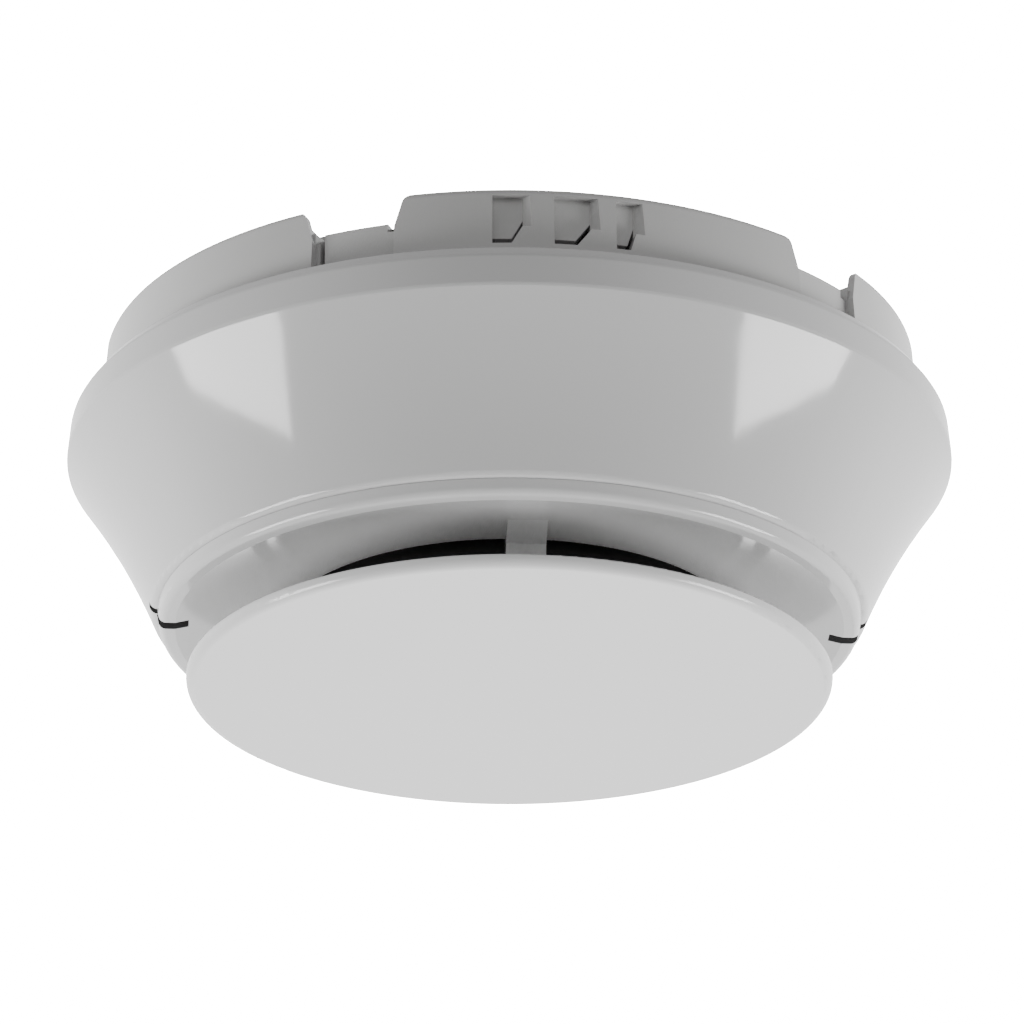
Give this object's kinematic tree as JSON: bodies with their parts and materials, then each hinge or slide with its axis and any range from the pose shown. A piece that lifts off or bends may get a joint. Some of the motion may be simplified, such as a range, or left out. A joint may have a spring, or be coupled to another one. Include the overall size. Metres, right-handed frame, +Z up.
{
  "type": "heat detector",
  "caption": "Round ceiling heat detector: twist-lock base with screw slots, conical sensing head and a pull-off front cover with air windows behind a flat disc.",
  "frame": {"origin": "centre of the face that lies on the ceiling", "axes": "+Z up into the ceiling, along the detector's axis; -Y is the front, where the three pockets of the base's skirt are; +X is to the right seen from the front"},
  "size_m": [0.1052, 0.1052, 0.0422],
  "materials": {
    "base_plastic": "light grey moulded ABS, satin-gloss",
    "housing_plastic": "light grey moulded ABS, gloss",
    "cover_plastic": "light grey moulded ABS, gloss",
    "black_plastic": "black moulded PBT, matt",
    "screen_black": "black-coated fine mesh",
    "tin_bronze": "tinned phosphor bronze, satin",
    "steel_zinc": "zinc-plated steel",
    "board_green": "green solder mask on glass-epoxy",
    "chip_black": "black epoxy package",
    "capacitor_sleeve": "dark blue heat-shrink sleeve",
    "smd_ceramic": "brown ceramic",
    "reed_glass": "green-tinted glass",
    "thermistor_glass": "dark epoxy bead",
    "dial_blue": "blue moulded switch body",
    "dial_white": "white moulded rotor",
    "led_red": "clear red epoxy lens"
  },
  "bodies": {
    "base": {"base_skirt": "base_plastic", "base_plate": "black_plastic", "base_contact_1": "tin_bronze", "base_contact_2": "tin_bronze", "base_contact_3": "tin_bronze", "base_contact_4": "tin_bronze", "clamp_plates": "steel_zinc", "terminal_screws": "steel_zinc"},
    "lock_lever": {"lock_lever": "base_plastic"},
    "head": {"outer_housing": "housing_plastic", "head_chassis": "black_plastic", "sensor_carrier": "black_plastic", "thermistor_1": "thermistor_glass", "thermistor_2": "thermistor_glass", "circuit_board": "board_green", "controller_chip": "chip_black", "capacitors": "capacitor_sleeve", "surface_parts": "smd_ceramic", "reed_switch": "reed_glass", "contact_blade_1": "tin_bronze", "contact_blade_2": "tin_bronze", "contact_blade_3": "tin_bronze", "contact_blade_4": "tin_bronze", "dial_switch_bodies": "dial_blue", "chassis_screws": "steel_zinc", "board_screws": "steel_zinc", "status_led": "led_red", "led_leads": "tin_bronze"},
    "cover": {"front_cover": "cover_plastic", "face_disc": "cover_plastic", "insect_screen": "screen_black"},
    "dial_tens": {"dial_tens": "dial_white"},
    "dial_units": {"dial_units": "dial_white"}
  },
  "joints": [
    {"name": "head_twist", "type": "hinge", "parent": "base", "child": "head", "pos_m": [0, 0, -0.008], "axis": [0, 0, 1], "range_deg": [-18, 0]},
    {"name": "cover_pull", "type": "slide", "parent": "head", "child": "cover", "axis": [0, 0, -1], "range_m": [0, 0.012]},
    {"name": "dial_tens_turn", "type": "hinge", "parent": "head", "child": "dial_tens", "pos_m": [-0.0065, 0, -0.0137], "axis": [0, 0, 1], "continuous": true},
    {"name": "dial_units_turn", "type": "hinge", "parent": "head", "child": "dial_units", "pos_m": [0.0065, 0, -0.0137], "axis": [0, 0, 1], "continuous": true},
    {"name": "lock_lever_flex", "type": "hinge", "parent": "base", "child": "lock_lever", "pos_m": [0, 0.0244, -0.0038], "axis": [1, 0, 0], "range_deg": [0, 7], "stiffness_Nm_per_rad": 0.02}
  ]
}
